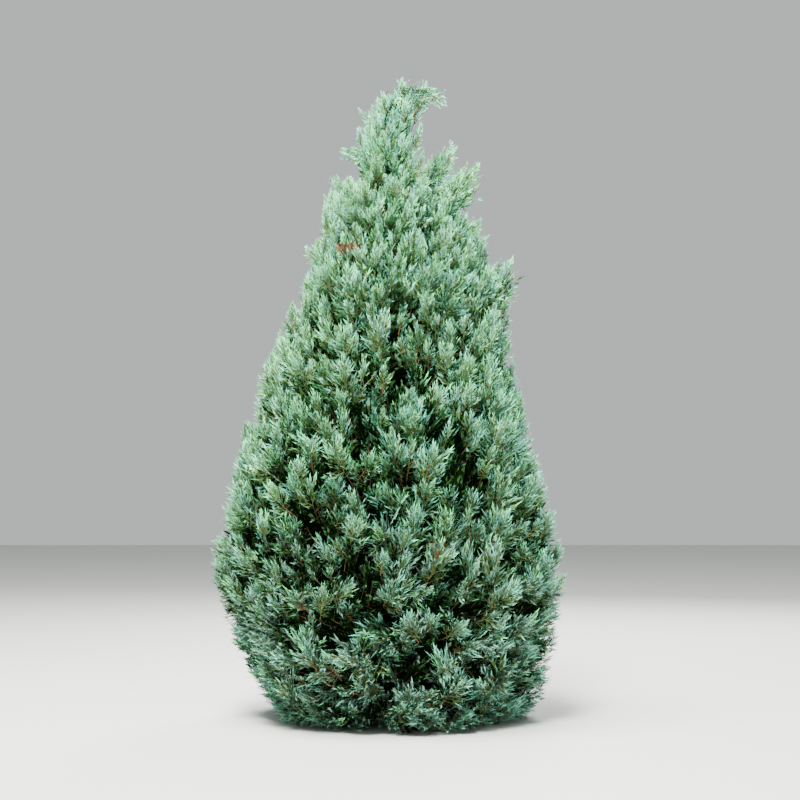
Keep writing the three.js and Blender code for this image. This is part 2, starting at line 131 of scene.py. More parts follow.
# Tiers from the ground up: the foot and slope of the border below each, how many masses it has,
# how far the first is turned, as a share of the angle between two, and how thick its boughs are
TIER_KEYS = ("name", "foot", "slope", "masses", "turn", "bough")
TIER_ROWS = [
    ("skirt", 0, 0, 6, 0.25, 1),
    ("lower", 700, 0.35, 6, 0.75, 1),
    ("middle", 1400, 0.65, 5, 0.3, 0.9),
    ("upper", 2050, 0.9, 4, 0.85, 0.75),
    ("shoulder", 2650, 1.1, 4, 0.35, 0.6),
    ("neck", 3200, 1.3, 3, 0.9, 0),
    ("crest", 3560, 1.5, 3, 0.25, 0),
    ("leader", 4080, 1.6, 1, 0, 0),
]
TIERS = [dict(zip(TIER_KEYS, row, strict=True)) for row in TIER_ROWS]

# Plumes that stand clear of the outline: x, y and z of the tip, the rise in degrees and the size
OUTRIDERS = [
    (-28, 0, 4500, 86, 1),
    (322, -20, 4300, -8, 0.9),
    (345, -40, 4010, 52, 0.9),
    (-440, -30, 3985, 12, 0.62),
    (495, 30, 3900, 56, 1.1),
    (400, -90, 3830, 60, 1),
    (-505, 0, 3790, 36, 0.9),
    (755, -40, 3190, 62, 1.1),
    (680, 110, 3215, 64, 1),
]

# Smaller tufts on the outline, in the same form
TUFTS = [
    (542, 20, 3494, 35, 0.7),
    (571, 0, 3375, 48, 0.7),
    (-690, 0, 3290, 34, 0.75),
    (-875, -40, 2670, 30, 0.75),
    (-310, 10, 4270, 32, 0.55),
    (140, 0, 4477, 74, 0.6),
]

# Layers of plumes, from the outline inward. The first starts from the source's own places. Row
# and column are the room between tips, lowest and highest the levels of the end rows. The tips
# stand in by inset at the foot and by top_inset at the top, at most by most_inset of the radius,
# and further at a gap, by its depth times give. Width is a finger's half width as a share of its
# length, and shade is painted shade: how many rungs darker its tints are, most for the layers
# furthest in.
LAYER_KEYS = (
    "name", "seed", "row", "column", "lowest", "highest", "inset", "top_inset", "most_inset",
    "give", "length", "fronds", "sprays", "fingers", "spikes", "width", "shade",
)
LAYER_ROWS = [
    ("outer", 11, 212, 226, 95, 4375, 30, -15, 0.55, 1, 288, 2, 10, 9, 2, 0.056, 0),
    ("crest", 17, 145, 150, 3050, 4330, 70, 40, 0.55, 0, 250, 2, 7, 10, 1, 0.058, 0.4),
    ("foot", 15, 95, 190, 55, 150, 45, 45, 0.55, 0.5, 260, 2, 7, 12, 1, 0.06, 0.5),
    ("filling", 21, 162, 172, 95, 4375, 50, 45, 0.55, 0.9, 228, 2, 5, 9, 1, 0.07, 0.5),
    ("shaded", 31, 150, 145, 95, 4375, 140, 90, 0.55, 0.2, 290, 3, 3, 6, 0, 0.18, 4.4),
    ("inmost", 41, 190, 175, 95, 4375, 340, 180, 0.55, 0, 330, 3, 2, 5, 0, 0.6, 9),
    ("heart", 61, 250, 260, 95, 4000, 720, 200, 0.75, 0, 420, 3, 2, 5, 0, 0.6, 9),
]
LAYERS = [dict(zip(LAYER_KEYS, row, strict=True)) for row in LAYER_ROWS]

# Towards the top the plumes grow shorter, and those of the leader stand further in
LENGTH_LEVELS = (3000, 4200)
LEAST_LENGTH = 0.86
LEADER_LEVELS = (4080, 4350)
LEADER_INSET = 32

# Plumes that fork from each outrider: how far they end behind it, and how they turn from it
OUTRIDER_STRETCH = 1.4
FOLLOWERS = [(0.26, 12), (0.3, -15), (0.52, 20), (0.56, -24)]

# The outrider that nods, how far it bends over and the share of its sprays that it has lost
NODDING = {"place": 1, "bend": -0.9, "lost": 0.64}

# How far the other plumes stray, with a first value for the foot and a last one for the top
HEADING_STRAY = (0.85, 0.45)
HEADING_LEVELS = (900, 2600)
RISE_STRAY = (15, 7)
LENGTH_STRAY = 0.23
PLACE_STRAY = 45
PLACE_LEVELS = (3000, SPIRE_FOOT)
ROOT_GAP = 15

# How often a plume's fronds lie level, at the ground and at the top, and how closely
LEVEL_SHARE = (0.8, 0.1)
LEVEL_STRAY = 0.3

# Gaps between the plumes, where tips stand back from the outline and the inside shows dark, in real
# shadow and in the painted shade of the inner layers
GAPS = {"seed": 54, "count": 270, "least": 70, "most": 130, "depth": 300, "low_bend": 1.3}
GAP_SIDES = 0.75
GAP_TOP = (1500, 3200)
GAP_RIM = (0.65, 1)
MOST_GAP_SHARE = 0.5

# How a plume is made: flat fronds round its axis, with sprays down both sides of each. Low on
# the crown its head is broad and round, and at the top it is a spear.
SPEARS = (1700, 3700)
AXIS_BEND = 0.3
AXIS_BEND_LEVELS = (100, 1200)
AXIS_SHARE = 0.9
UPRIGHT = np.array([0.02, 0.01, 1.0])
FROND_TURNS = {2: (0, 0.9), 3: (0, 1.05, 2.1)}
FROND_STRAY = 0.3
SPRAY_PLACES = (0.18, 0.78)
SPRAY_PLACE_STRAY = 0.06
SPRAY_LEAN = {"head": (56, 20), "spear": (38, 14)}
SPRAY_STRAY = 12
SPRAY_REACH = {"head": (0.42, 0.38), "spear": (0.46, 0.26)}
SPRAY_VARIETY = (0.82, 1.18)
HEAD_BULGE = 0.15
TOP_SPRAY_PLACE = 0.64
TOP_SPRAY_LEAN = 0.03
SPRAY_ARCH = 0.13
SPRAY_CURL = 0.3
SPRAY_CURL_VARIETY = (0.3, 1.2)
SPRAY_ROLL = 0.42
SPRAY_SEED_STEP = 100

# How a spray is made: fingers down both sides of its rib, with spikes down both sides of each
FINGER_PLACES = (0.06, 0.78)
FINGER_ANGLE = {"head": (42, 17), "spear": (34, 14)}
FINGER_REACH = (0.54, 0.4)
FINGER_WAIST = 0.5
FINGER_STRAY = 12
FINGER_TILT = (0.1, 0.35)
FINGER_VARIETY = (0.65, 1.3)
FINGER_CURL = 0.26
SPIKE_PLACES = (0.3, 0.5)
SPIKE_REACH = (0.34, 0.3)
SPIKE_ANGLE = math.radians(36)
SPIKE_WIDTH = 0.055
KITE = [(0, 2, 1), (1, 2, 3)]
KITE_CORNERS = 4
SPIKE_CORNERS = 3

# How far fingers may reach past the outline and the top, how far the inner layers stay behind
# the outline, at the foot and at the top, and how far all stay above the floor
OVERHANG = 42
TOP_OVERHANG = 21
INNER_DEPTH = (20, 60)
FLOOR_GAP = 5

# Tints as hex colours. Three ladders run from the black inside to the bright tips. Each ladder holds
# lit and shaded copies of one foliage colour: hollow, deep and dark are painted shade inside the
# crown, and the top rungs are partly paler tips and partly painted highlight.
TINTS = {
    "hollow": "061304",
    "deep": "0a1d08",
    "dark": "1a3c12",
    "green_1": "33542b",
    "green_2": "497551",
    "green_3": "619c73",
    "green_4": "6ec588",
    "green_5": "81f09e",
    "blue_1": "2d4f39",
    "blue_2": "46725e",
    "blue_3": "5d9885",
    "blue_4": "6cc0a8",
    "blue_5": "85eac6",
    "slate_1": "364839",
    "slate_2": "53695e",
    "slate_3": "6b9081",
    "slate_4": "79b79f",
    "slate_5": "88e4be",
    "olive": "445627",
    # The paler olive is olive painted as lit
    "olive_lit": "717f48",
    "dead_pale": "8c5c46",
    "dead_dark": "5e3a29",
}
TINT_NAMES = list(TINTS)
HUES = ["green", "blue", "slate"]
LADDERS = [["hollow", "deep", "dark"] + [f"{hue}_{n}" for n in range(1, 6)] for hue in HUES]
LEAF_ROUGHNESS = 0.75
SHINE = 0.12
DULL = {"hollow": 0, "deep": 0.04}

# How light a finger is painted, in rungs of its ladder: the least, and what each of the rest adds.
# Spray, finger and tip make the outer parts of plumes lighter, partly as paler tips and partly as
# painted light and highlight; height, crest and foot are painted light, and tone is random.
LIGHT = {
    "least": 1.62, "spray": 2.3, "finger": 1.8, "height": 0.72, "tip": 1.7, "crest": 1.15,
    "foot": 0.15, "tone": 0.35,
}
# Levels over which the painted light grows towards the top and the crest and fades above the foot,
# and over which a layer's painted shade lessens towards the top; the noises are random
HEIGHT_LIGHT = (1000, 3400)
FOOT_LIGHT = (500, 1600)
CREST_LIGHT = (3350, 4150)
SHADE_TOP = (1700, 3850)
SHADE_LOSS = 0.85
SPRAY_NOISE = 0.5
FINGER_NOISE = 0.95

# How often a spray is slate, blue or olive, and the rungs of painted light from which olive shows
# and from which it is painted as lit olive
SLATE_SHARE = 0.75
SLATE_LEVELS = (250, 1700)
BLUE_SHARE = (0.35, 0.85)
BLUE_LEADER = 0.45
BLUE_LEVELS = (3700, 4200)
OLIVE_SHARE = (0.34, 0.72)
OLIVE_STEPS = (2, 5)

# Dead spots at the front: x and z of each middle, and how far it reaches along x and z
DEAD_SPOTS = [(-395, 3207, 76, 30), (-631, 774, 28, 36), (206, 1157, 28, 34)]
DEAD_EDGE = (0.3, 1.3)
DARK_DEAD_SHARE = 0.6

# Twigs: their tints, and the places in that list from which limbs and axes draw theirs
TWIG_TINTS = {"brown": "52432d", "red": "7a5638", "tan": "957d5c", "rib": "5a683e"}
LIMB_CHOICE = [0, 0, 0, 0, 0, 1, 2]
AXIS_CHOICE = [0, 0, 0, 1, 3]
TWIG_ROUGHNESS = 0.85
TWIG_SEED = 77
TUBE_SIDES = 3
TUBE_RINGS = 3
TUBE_HINT = np.array([0.31, 0.17, 0.9])

# Keeps a tube of no length from having no direction
TINY = 1e-9

# The limb on which a mass grows, its branches, and the twigs that fork from them to the plumes
STEM_RADII = (11, 7)
STEM_REACH = 0.62
STEM_FALL = 0.9
LEADER_STEM_START = 0.98
LEADER_STEM_END = (-28.0, 0.0, 4440.0)
STEM_HINT = np.array([0.3, 0.2, 0.9])
BRANCH_RADII = (7, 5)
BRANCH_PLACES = (0.25, 0.95)
BRANCH_ARCH = 40
FORK_SHARE = 0.62
TWIGS_TO_BRANCH = 6
TWIG_RADII = (4.5, 3.5)
TWIG_HOLD = 0.35
MOST_HOLD = 60
TWIG_OVERLAP = 5

# The axis of a plume, and the rib of a spray
AXIS_RADIUS = 4.0
AXIS_TAPER = 0.3
RIB_SHARE = 0.6
RIB_HALF = 2.2
RIB_TAPER = 0.4

# Bark: the mesh of trunk and boughs, with the depth, stretch and width of its strips in
# millimetres, how strips and the fibres on them stand out, and its colours by their places
TRUNK_MESH = {"rings": 320, "sides": 44, "depth": 5, "stretch": 130, "width": 14}
BOUGH_MESH = {"rings": 34, "sides": 12, "depth": 2, "stretch": 60, "width": 9}
STRIP_LEVEL = 0.5
STRIP_FURROW = 1.7
FIBRE_RELIEF = 0.3
FIBRE_ACROSS = 3.1
FIBRE_UP = 2.3
FIBRE_SHIFT = 7
FULL_RELIEF_RADIUS = 20
STEEP = 0.9
BARK_ENDS = [(0.32, "2c1a13"), (0.68, "8d6e5a")]
BARK_MIDDLE = (0.5, "6a4031")
BARK_STRETCH = {"Scale": (60, 60, 7)}
BARK_FIBRES = {"Scale": 1, "Detail": 6, "Roughness": 0.65}
BARK_BUMP = {"Strength": 0.5, "Distance": 0.004}
BARK_FINISH = {"Roughness": 0.92}

# The studio, in metres and watts. Each light has a name, a place, the point at which it looks,
# a size, a power and a colour.
FLOOR_SIZE = 80
FLOOR_TINT = "cccdc9"
FLOOR_ROUGHNESS = 0.95
WORLD = {"Color": (0.93, 0.98, 0.98, 1), "Strength": 0.62}
LIGHTS = [
    ("key", (-1.8, -8, 12), (0, 0, 2), 3.5, 6900, (1, 0.99, 0.95)),
    ("low", (0, -10, 1.2), (0, 0, 0.5), 4, 200, (1, 1, 1)),
    ("back", (3, 9, 8), (0, 0, 2), 5, 2200, (1, 1, 1)),
    ("top", (-3, -2, 13), (0, 0, 2.2), 6, 4200, (0.97, 0.99, 0.98)),
]

# The camera: its place, its tilt above level in degrees, and its focal length in picture pixels
CAMERA_PLACE = (-0.028, -11.52, 1.54)
CAMERA_TILT = 3.34
SENSOR_WIDTH = 36
FOCAL_PIXELS = 1641
PICTURE_WIDTH = 800
FARTHEST = 200


def mix(low, high, share):
    return low + (high - low) * share


def smooth_share(value, low, high):
    share = np.clip((value - low) / (high - low), 0, 1)
    return share * share * (3 - 2 * share)


def nearest(value):
    """The nearest whole number, with halves going up as in the source."""
    return math.floor(value + 0.5)


def seeded(seed):
    """The source's repeatable stream of numbers from 0 to 1."""
    state = (seed + 1) * SEED_SCALE % STREAM_SIZE
    while True:
        state = (state * STEP_SCALE + STEP_SHIFT) % STREAM_SIZE
        yield state / STREAM_SIZE


def spread(stream, size):
    return (2 * next(stream) - 1) * size


def unit(vectors):
    return vectors / np.linalg.norm(vectors, axis=-1, keepdims=True)


def crown_radius(z):
    """How far the crown reaches from its own middle line at a height."""
    low = np.clip(z, 0, GIRTH_HEIGHT) / GIRTH_HEIGHT
    foot = mix(FOOT_RADIUS, GIRTH_RADIUS, np.sin(np.pi / 2 * low**FOOT_FULLNESS))
    high = np.clip((z - GIRTH_HEIGHT) / (HEIGHT - GIRTH_HEIGHT), 0, 1)
    taper = GIRTH_RADIUS * (1 - high**TAPER_BEND) ** TAPER_FULLNESS
    spire_share = np.clip((z - SPIRE_FOOT) / (HEIGHT - SPIRE_FOOT), 0, 1)
    spire = SPIRE_RADIUS * (1 - spire_share**SPIRE_BEND) ** SPIRE_FULLNESS
    stepped = mix(taper, spire, smooth_share(z, SPIRE_FOOT, SPIRE_FOOT + SPIRE_STEP))
    return np.where(z < GIRTH_HEIGHT, foot, stepped)


def crown_middle(z):
    """The x of the crown's middle line, which bows to one side at the belly and the spire."""
    belly_share = np.clip(z / LEAN_HEIGHT, 0, 1)
    spire_share = np.clip((z - SPIRE_LEAN_FOOT) / SPIRE_LEAN_RISE, 0, 1)
    belly = CROWN_LEAN * np.sin(np.pi * belly_share**LEAN_BEND)
    return -belly - SPIRE_LEAN * np.sin(np.pi * spire_share**SPIRE_LEAN_BEND)


def lump(azimuth, z):
    """How far the outline swells at a place, as a share of its radius."""
    wave = z / LUMP_PITCH
    broad = BROAD_LUMP_COUNT * azimuth + wave
    fine = FINE_LUMP_COUNT * azimuth + FINE_LUMP_DRIFT * wave + FINE_LUMP_TURN
    return BROAD_LUMP * np.sin(broad) + FINE_LUMP * np.sin(fine)


def surface_radius(azimuth, z):
    """How far the outline is from the crown's middle line."""
    return crown_radius(z) * (1 + lump(azimuth, z))


def to_crown(points):
    """Azimuths, radii and heights about the crown's middle line."""
    x = points[..., 0] - crown_middle(points[..., 2])
    return np.arctan2(points[..., 1], x), np.hypot(x, points[..., 1]), points[..., 2]


def height_share(z):
    return np.clip(z / HEIGHT, 0, 1)


def from_crown(azimuth, radius, z):
    x = crown_middle(z) + radius * np.cos(azimuth)
    return np.stack(np.broadcast_arrays(x, radius * np.sin(azimuth), z), axis=-1)


def wrap(angle):
    return angle - TURN * np.round(angle / TURN)


def border(tier, radius, azimuth):
    """The height of the border under a tier, at a radius and azimuth."""
    if tier == 0:
        return np.full_like(radius, GROUND_GAP, dtype=float)
    if tier == len(TIERS):
        return np.full_like(radius, np.inf, dtype=float)
    foot = TIERS[tier]["foot"]
    wave = BROAD_WAVE * np.sin(BROAD_WAVE_COUNT * azimuth + BROAD_WAVE_TURN * tier)
    wave = wave + FINE_WAVE * np.sin(FINE_WAVE_COUNT * azimuth + tier)
    return foot + TIERS[tier]["slope"] * (radius - crown_radius(foot)) + wave


def lay_out_masses():
    """Every mass's tier, place in the tier, azimuth and name."""
    masses = []
    for index, tier in enumerate(TIERS):
        for place in range(tier["masses"]):
            azimuth = wrap(TURN * (place + tier["turn"]) / tier["masses"])
            name = f"{tier['name']}_{place + 1}" if tier["masses"] > 1 else tier["name"]
            masses.append({"tier": index, "place": place, "azimuth": azimuth, "name": name})
    return masses


def mass_at(masses, points):
    """The index of the mass in whose space each point lies."""
    azimuth, radius, z = to_crown(points)
    found = np.full(len(points), len(masses) - 1)
    for index, mass in enumerate(masses):
        tier = mass["tier"]
        half = math.pi / TIERS[tier]["masses"]
        beside = np.abs(wrap(azimuth - mass["azimuth"])) <= half
        inside = (z >= border(tier, radius, azimuth)) & (z < border(tier + 1, radius, azimuth))
        found[beside & inside] = index
    return found


def rise_share(z):
    return np.clip(z / RISE["height"], 0, 1) ** RISE["bend"]


def lay_out_tip(layer, level, azimuth, stream):
    """The tip, rise and size of a plume near a level, drawn in the source's order."""
    z = max(level + spread(stream, STRAY["level"]), LOWEST_TIP)
    radius = float(crown_radius(z)) * (1 + lump(azimuth, z)) + spread(stream, STRAY["reach"])
    rise = mix(RISE["low"], RISE["high"], float(rise_share(z))) + spread(stream, STRAY["rise"])
    # The source draws a yaw here. The scene has its own, so that number is passed over.
    next(stream)
    size = 1 + spread(stream, STRAY["size"])
    inset = mix(layer["inset"], layer["top_inset"], float(smooth_share(z, *SPEARS)))
    inset += LEADER_INSET * float(smooth_share(z, *LEADER_LEVELS))
    inset = min(inset, layer["most_inset"] * radius)
    return (*from_crown(azimuth, radius - inset, z), rise, size)


def lay_out_tips(layer):
    """Tips, rises and sizes of a layer's plumes, in rows round the crown, by the source's rule."""
    stream = seeded(layer["seed"])
    lowest, highest = layer["lowest"], layer["highest"]
    rows = nearest((highest - lowest) / layer["row"]) + 1
    places = []
    for row in range(rows):
        level = mix(lowest, highest, row / (rows - 1))
        count = max(LEAST_IN_ROW, nearest(TURN * float(crown_radius(level)) / layer["column"]))
        for n in range(count):
            azimuth = wrap(TURN * (n + (row % 2) / 2 + spread(stream, STRAY["place"])) / count)
            places.append(lay_out_tip(layer, level, azimuth, stream))
    return np.array(places, float)


def lay_out_gaps():
    """The middle of every gap on the crown's outline, and how wide it is."""
    rng = np.random.default_rng(GAPS["seed"])
    z = SPIRE_FOOT * rng.random(GAPS["count"]) ** GAPS["low_bend"]
    azimuth = rng.uniform(-np.pi, np.pi, GAPS["count"])
    middle = from_crown(azimuth, surface_radius(azimuth, z), z)
    return middle, rng.uniform(GAPS["least"], GAPS["most"], GAPS["count"])


def stray(tips, rng):
    """The tips, each moved a little along the crown's outline."""
    azimuth, radius, z = to_crown(tips)
    size = PLACE_STRAY * (1 - smooth_share(z, *PLACE_LEVELS))
    moved = np.maximum(z + rng.uniform(-1, 1, len(z)) * size, LOWEST_TIP)
    radius = radius + crown_radius(moved) - crown_radius(z)
    return from_crown(azimuth + rng.uniform(-1, 1, len(z)) * size / radius, radius, moved)


def stand_back(tips, give):
    """The tips, with those at a gap moved inward."""
    middle, width = lay_out_gaps()
    azimuth, radius, z = to_crown(tips)
    surface = from_crown(azimuth, surface_radius(azimuth, z), z)
    away = np.linalg.norm(surface[:, None] - middle, axis=-1) / width
    room = (1 - GAP_SIDES * np.cos(azimuth) ** 2) * (1 - smooth_share(z, *GAP_TOP))
    depth = give * room * GAPS["depth"] * (1 - smooth_share(away.min(axis=1), *GAP_RIM))
    return from_crown(azimuth, radius - np.minimum(depth, MOST_GAP_SHARE * radius), z)


def direction(heading, rise):
    """Unit vectors at a heading and a rise, both in radians."""
    level = np.cos(rise)
    return np.stack([level * np.cos(heading), level * np.sin(heading), np.sin(rise)], axis=-1)


def lay_out_outriders(length):
    """The outriders and the shorter plumes that fork from the foot of each."""
    lone = np.array(OUTRIDERS + TUFTS, float)
    heading, _, _ = to_crown(lone[:, :3])
    full = (length * OUTRIDER_STRETCH * lone[:, 4])[:, None]
    root = lone[:, :3] - full * direction(heading, np.radians(lone[:, 3]))
    rows = [np.column_stack([lone[:, :4], lone[:, 4] * OUTRIDER_STRETCH])]
    for back, turn in FOLLOWERS:
        rise = lone[:, 3] + turn
        tip = root + (1 - back) * full * direction(heading, np.radians(rise))
        rows.append(np.column_stack([tip, rise, lone[:, 4]]))
    return np.concatenate(rows)


def point_plumes(places, free, rng):
    """The direction of every plume. The free ones, which break the outline, keep their rise."""
    azimuth, _, z = to_crown(places[:, :3])
    heading_stray = mix(*HEADING_STRAY, smooth_share(z, *HEADING_LEVELS))
    yaw = np.where(free, SPRAY_YAW, heading_stray)
    heading = azimuth + rng.uniform(-1, 1, len(places)) * yaw
    rise_stray = np.where(free, 0, mix(*RISE_STRAY, height_share(z)))
    rise = np.radians(places[:, 3] + rng.normal(0, 1, len(places)) * rise_stray)
    return direction(heading, rise)


def stretch_plumes(places, free, rng):
    """How much every plume is stretched, apart from its own size."""
    short = smooth_share(places[:, 2], *LENGTH_LEVELS)
    stretch = np.where(free, 1, mix(1, LEAST_LENGTH, short))
    return stretch * np.exp(np.where(free, 0, rng.normal(0, LENGTH_STRAY, len(places))))


def lay_out_plumes(masses, layer):
    """The plumes of one layer: where each ends, where it points, how long it is and its mass."""
    rng = np.random.default_rng(layer["seed"])
    places = lay_out_tips(layer)
    places[:, :3] = stand_back(stray(places[:, :3], rng), layer["give"])
    outriders = lay_out_outriders(layer["length"])
    if layer["name"] != "outer":
        outriders = outriders[:0]
    places = np.concatenate([outriders, places])
    number = len(places)
    free = np.arange(number) < len(outriders)
    tips = places[:, :3]
    axis = point_plumes(places, free, rng)
    length = layer["length"] * places[:, 4] * stretch_plumes(places, free, rng)
    root = tips - axis * length[:, None]
    root[:, 2] = np.maximum(root[:, 2], ROOT_GAP)
    z = tips[:, 2]
    level_lying = rng.random(number) < mix(*LEVEL_SHARE, height_share(z))
    level_turn = rng.normal(0, LEVEL_STRAY, number)
    nods = free & (np.arange(number) % len(OUTRIDERS + TUFTS) == NODDING["place"])
    bend = AXIS_BEND * smooth_share(z, *AXIS_BEND_LEVELS)
    return {
        "tip": tips,
        "root": root,
        "axis": unit(tips - root),
        "length": np.linalg.norm(tips - root, axis=-1),
        "free": free,
        "spear": np.where(free, 1, smooth_share(z, *SPEARS)),
        "nods": nods,
        "bend": np.where(nods, NODDING["bend"], bend),
        "mass": mass_at(masses, tips),
        "turn": np.where(level_lying, level_turn, rng.uniform(0, TURN, number)),
        "tone": rng.normal(0, 1, number),
    }


def frames(axis, hint):
    """Two directions square to each axis and to each other."""
    side = unit(np.cross(axis, hint))
    return side, np.cross(side, axis)


def axis_curves(plumes, chosen):
    """Start, bend and end of the curved axis of each chosen plume, which stops short of its tip."""
    root, tip = plumes["root"][chosen], plumes["tip"][chosen]
    _, across = frames(plumes["axis"][chosen], UPRIGHT)
    sag = (plumes["bend"] * plumes["length"] / 2)[chosen]
    middle = (root + tip) / 2 - across * sag[:, None]
    end = curve_points(root, middle, tip, np.array([AXIS_SHARE]))[:, 0]
    return np.stack([root, mix(root, middle, AXIS_SHARE), end])


def blend(first, first_size, second, second_size):
    """Two sets of directions, each times its own sizes, added."""
    return first * first_size[..., None] + second * second_size[..., None]


def mix_forms(form, spear, share):
    """A value that goes from its first to its last, for heads and spears and all between."""
    first, last = (mix(form["head"][n], form["spear"][n], spear) for n in range(2))
    return mix(first, last, share)


def alternate(numbers):
    """1 for even numbers and -1 for odd ones, for the two sides of a frond, a rib or a finger."""
    return np.where(numbers % 2 == 0, 1.0, -1.0)


def add_top(values, top):
    """Values for the sprays down the sides of every plume, and a last one for that at its tip."""
    last = np.broadcast_to(top, len(values))[:, None]
    return np.concatenate([values.reshape(len(values), -1), last], axis=1)


def shape_sprays(plumes, layer, rng):
    """Place, share, hand, turn, lean and reach of every plume's sprays."""
    fronds, sprays = layer["fronds"], layer["sprays"]
    shape = (len(plumes["tip"]), fronds, sprays)
    spear = plumes["spear"][:, None, None]
    length = plumes["length"][:, None, None]
    share = np.broadcast_to(np.linspace(0, 1, sprays), shape)
    place = np.linspace(*SPRAY_PLACES, sprays)
    place = place + rng.uniform(-SPRAY_PLACE_STRAY, SPRAY_PLACE_STRAY, shape)
    hand = alternate(np.arange(sprays) + np.arange(fronds)[:, None])
    turn = plumes["turn"][:, None, None] + np.array(FROND_TURNS[fronds])[:, None]
    turn = turn + rng.normal(0, FROND_STRAY, shape)
    lean = mix_forms(SPRAY_LEAN, spear, share) + rng.normal(0, SPRAY_STRAY, shape)
    bulge = HEAD_BULGE * (1 - spear) * np.sin(np.pi * share)
    reach = (mix_forms(SPRAY_REACH, spear, share) + bulge) * length
    reach = reach * rng.uniform(*SPRAY_VARIETY, shape)
    sides = (place, share, np.broadcast_to(hand, shape), turn, np.radians(lean), reach)
    top_reach = (1 - TOP_SPRAY_PLACE) * plumes["length"]
    tops = (TOP_SPRAY_PLACE, 1, 1, plumes["turn"], TOP_SPRAY_LEAN, top_reach)
    return [add_top(values, top) for values, top in zip(sides, tops, strict=True)]


def grow_sprays(plumes, layer, rng):
    """The sprays of every plume: down both sides of its flat fronds, and one at its tip."""
    place, share, hand, turn, lean, reach = shape_sprays(plumes, layer, rng)
    side, across = (way[:, None] for way in frames(plumes["axis"], UPRIGHT))
    bend = plumes["bend"][:, None]
    sag = across * (bend * place * (place - 1))[..., None]
    base = plumes["axis"][:, None] * place[..., None] + sag
    base = plumes["root"][:, None] + base * plumes["length"][:, None, None]
    axis = unit(plumes["axis"][:, None] + across * (bend * (2 * place - 1))[..., None])
    out = blend(side, np.cos(turn) * hand, across, np.sin(turn) * hand)
    out = unit(out - axis * np.sum(out * axis, axis=-1, keepdims=True))
    along = blend(axis, np.cos(lean), out, np.sin(lean))
    width = blend(out, np.cos(lean), axis, -np.sin(lean))
    normal = np.cross(along, width)
    roll = rng.normal(0, SPRAY_ROLL, reach.shape)
    return {
        "base": base.reshape(-1, 3),
        "along": along.reshape(-1, 3),
        "width": blend(width, np.cos(roll), normal, np.sin(roll)).reshape(-1, 3),
        "reach": reach.reshape(-1),
        "share": share.reshape(-1),
        "spear": np.repeat(plumes["spear"], reach.shape[1]),
        "plume": np.repeat(np.arange(len(reach)), reach.shape[1]),
    }


def bend_ribs(sprays, place, rng):
    """Points on the curved rib of every spray, as shares of its reach, and its directions there."""
    along = sprays["along"][:, None]
    width = sprays["width"][:, None]
    normal = np.cross(along, width)
    arch = rng.normal(0, SPRAY_ARCH, len(place))[:, None]
    curl = -SPRAY_CURL * rng.uniform(*SPRAY_CURL_VARIETY, len(place))[:, None]
    rib = blend(along, place, normal, arch * place**2) + width * (curl * place**2)[..., None]
    tangent = unit(along + blend(normal, 2 * arch * place, width, 2 * curl * place))
    return rib, tangent, normal


def grow_fingers(sprays, layer, rng):
    """The fingers of every spray: down both sides of its rib, the last one at its tip."""
    count = layer["fingers"]
    shape = (len(sprays["reach"]), count)
    share = np.broadcast_to(np.linspace(0, 1, count), shape)
    last = share == 1
    hand = alternate(np.arange(count))
    rib, tangent, normal = bend_ribs(sprays, mix(*FINGER_PLACES, share), rng)
    angle = mix_forms(FINGER_ANGLE, sprays["spear"][:, None], share)
    angle = np.radians(angle + rng.normal(0, FINGER_STRAY, shape))
    angle = np.where(last, 0, angle)
    tilt = rng.normal(*FINGER_TILT, shape)
    pointing = blend(tangent, np.cos(angle), sprays["width"][:, None], np.sin(angle) * hand)
    pointing = unit(pointing + normal * (np.sin(angle) * tilt)[..., None])
    reach = sprays["reach"][:, None]
    length = reach * mix(*FINGER_REACH, share) * rng.uniform(*FINGER_VARIETY, shape)
    return {
        "base": (sprays["base"][:, None] + rib * reach[..., None]).reshape(-1, 3),
        "along": pointing.reshape(-1, 3),
        "flat": unit(np.cross(normal, pointing)).reshape(-1, 3),
        "curl": np.where(last, 0, -hand * FINGER_CURL).reshape(-1),
        "length": length.reshape(-1),
        "share": share.reshape(-1),
        "spray": np.repeat(np.arange(shape[0]), count),
    }


def finger_mesh(fingers, layer):
    """The corners of every finger: a kite, then a triangle for each of its spikes."""
    base = fingers["base"]
    along = fingers["along"]
    flat = fingers["flat"]
    length = fingers["length"][:, None]
    half = layer["width"] * length
    waist = base + along * (FINGER_WAIST * length)
    tip = base + along * length + flat * (fingers["curl"][:, None] * length)
    corners = [base, waist - flat * half, waist + flat * half, tip]
    for n in range(layer["spikes"]):
        hand = alternate(np.arange(len(base)) // 2 + n)[:, None]
        foot = base + along * (SPIKE_PLACES[n] * length)
        out = along * math.cos(SPIKE_ANGLE) + flat * (hand * math.sin(SPIKE_ANGLE))
        step = along * (SPIKE_WIDTH * length)
        corners += [foot - step, foot + step, foot + out * (SPIKE_REACH[n] * length)]
    return np.stack(corners, axis=1)


def finger_faces(spikes):
    """The faces of one finger, and which of them are in its outer half."""
    starts = [KITE_CORNERS + SPIKE_CORNERS * n for n in range(spikes)]
    faces = KITE + [(start, start + 1, start + 2) for start in starts]
    outer = [False, True] + [n >= spikes // 2 for n in range(spikes)]
    return np.array(faces), np.array(outer)


def choose_hues(points, rng):
    """The ladder of every spray: slate near the ground, blue more often at one side and on top."""
    azimuth, _, z = to_crown(points)
    slate = rng.random(len(z)) < SLATE_SHARE * (1 - smooth_share(z, *SLATE_LEVELS))
    blue_share = mix(*BLUE_SHARE, (1 + np.cos(azimuth)) / 2 * (1 - z / HEIGHT))
    blue = rng.random(len(z)) < blue_share + BLUE_LEADER * smooth_share(z, *BLUE_LEVELS)
    hues = np.where(blue, HUES.index("blue"), HUES.index("green"))
    return np.where(slate, HUES.index("slate"), hues)


